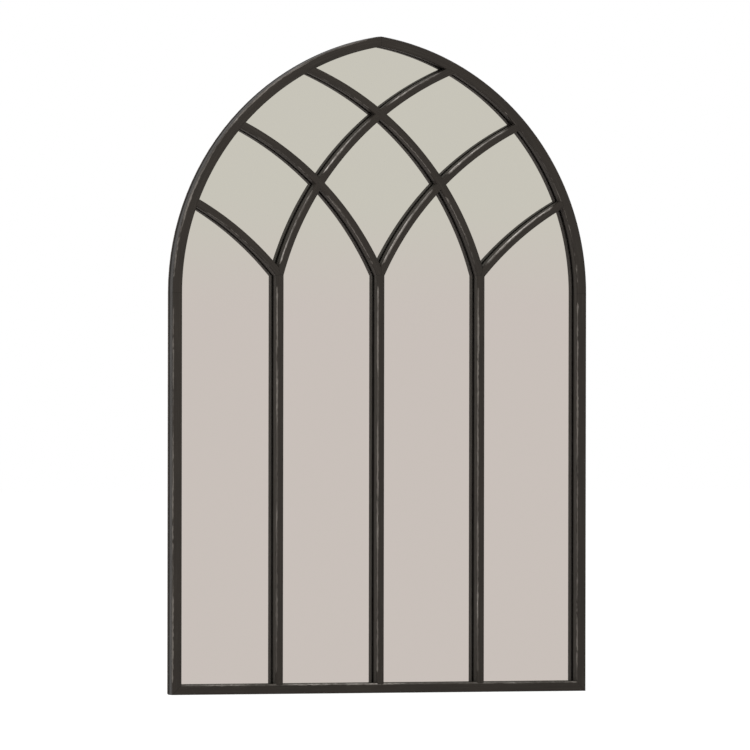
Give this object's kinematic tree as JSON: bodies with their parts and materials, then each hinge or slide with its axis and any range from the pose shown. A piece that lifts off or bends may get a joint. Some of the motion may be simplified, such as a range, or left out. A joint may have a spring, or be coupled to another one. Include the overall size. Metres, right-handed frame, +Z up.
{
  "type": "arched mirror",
  "caption": "Wall mirror in a pointed-arch wooden frame with forked tracery bars like a church window, hung by swinging D-rings on its back.",
  "frame": {"origin": "middle of the underside of the bottom rail, halfway between the front face and the back of the panel", "axes": "+X to the right seen from the front, +Y from the front towards the wall, +Z up"},
  "size_m": [0.745, 0.038, 1.118],
  "materials": {
    "frame_paint": "worn satin charcoal paint on wood",
    "mirror": "polished silvered glass",
    "backing_board": "matt dark stained fibreboard",
    "foam_tape": "matt foam",
    "beech": "bare turned wood",
    "zinc_steel": "dull zinc plate",
    "rubber": "matt black"
  },
  "bodies": {
    "mirror": {"bottom_rail": "frame_paint", "left_stile": "frame_paint", "right_stile": "frame_paint", "left_arch_rail": "frame_paint", "right_arch_rail": "frame_paint", "left_mullion": "frame_paint", "centre_mullion": "frame_paint", "right_mullion": "frame_paint", "left_short_bar": "frame_paint", "left_middle_bar": "frame_paint", "left_long_bar": "frame_paint", "right_short_bar": "frame_paint", "right_middle_bar": "frame_paint", "right_long_bar": "frame_paint", "mirror_glass": "mirror", "back_panel": "backing_board", "mounting_tape": "foam_tape", "frame_dowels": "beech", "bar_dowels": "beech", "fork_dowels": "beech", "panel_screws": "zinc_steel", "hanger_screws": "zinc_steel", "left_hanger_strap": "zinc_steel", "right_hanger_strap": "zinc_steel", "wall_pads": "rubber"},
    "left_ring": {"left_d_ring": "zinc_steel"},
    "right_ring": {"right_d_ring": "zinc_steel"}
  },
  "joints": [
    {"name": "left_ring_swing", "type": "hinge", "parent": "mirror", "child": "left_ring", "pos_m": [-0.3, 0.01856, 0.745], "axis": [-1, 0, 0], "range_deg": [0, 177]},
    {"name": "right_ring_swing", "type": "hinge", "parent": "mirror", "child": "right_ring", "pos_m": [0.3, 0.01856, 0.745], "axis": [-1, 0, 0], "range_deg": [0, 177]}
  ]
}
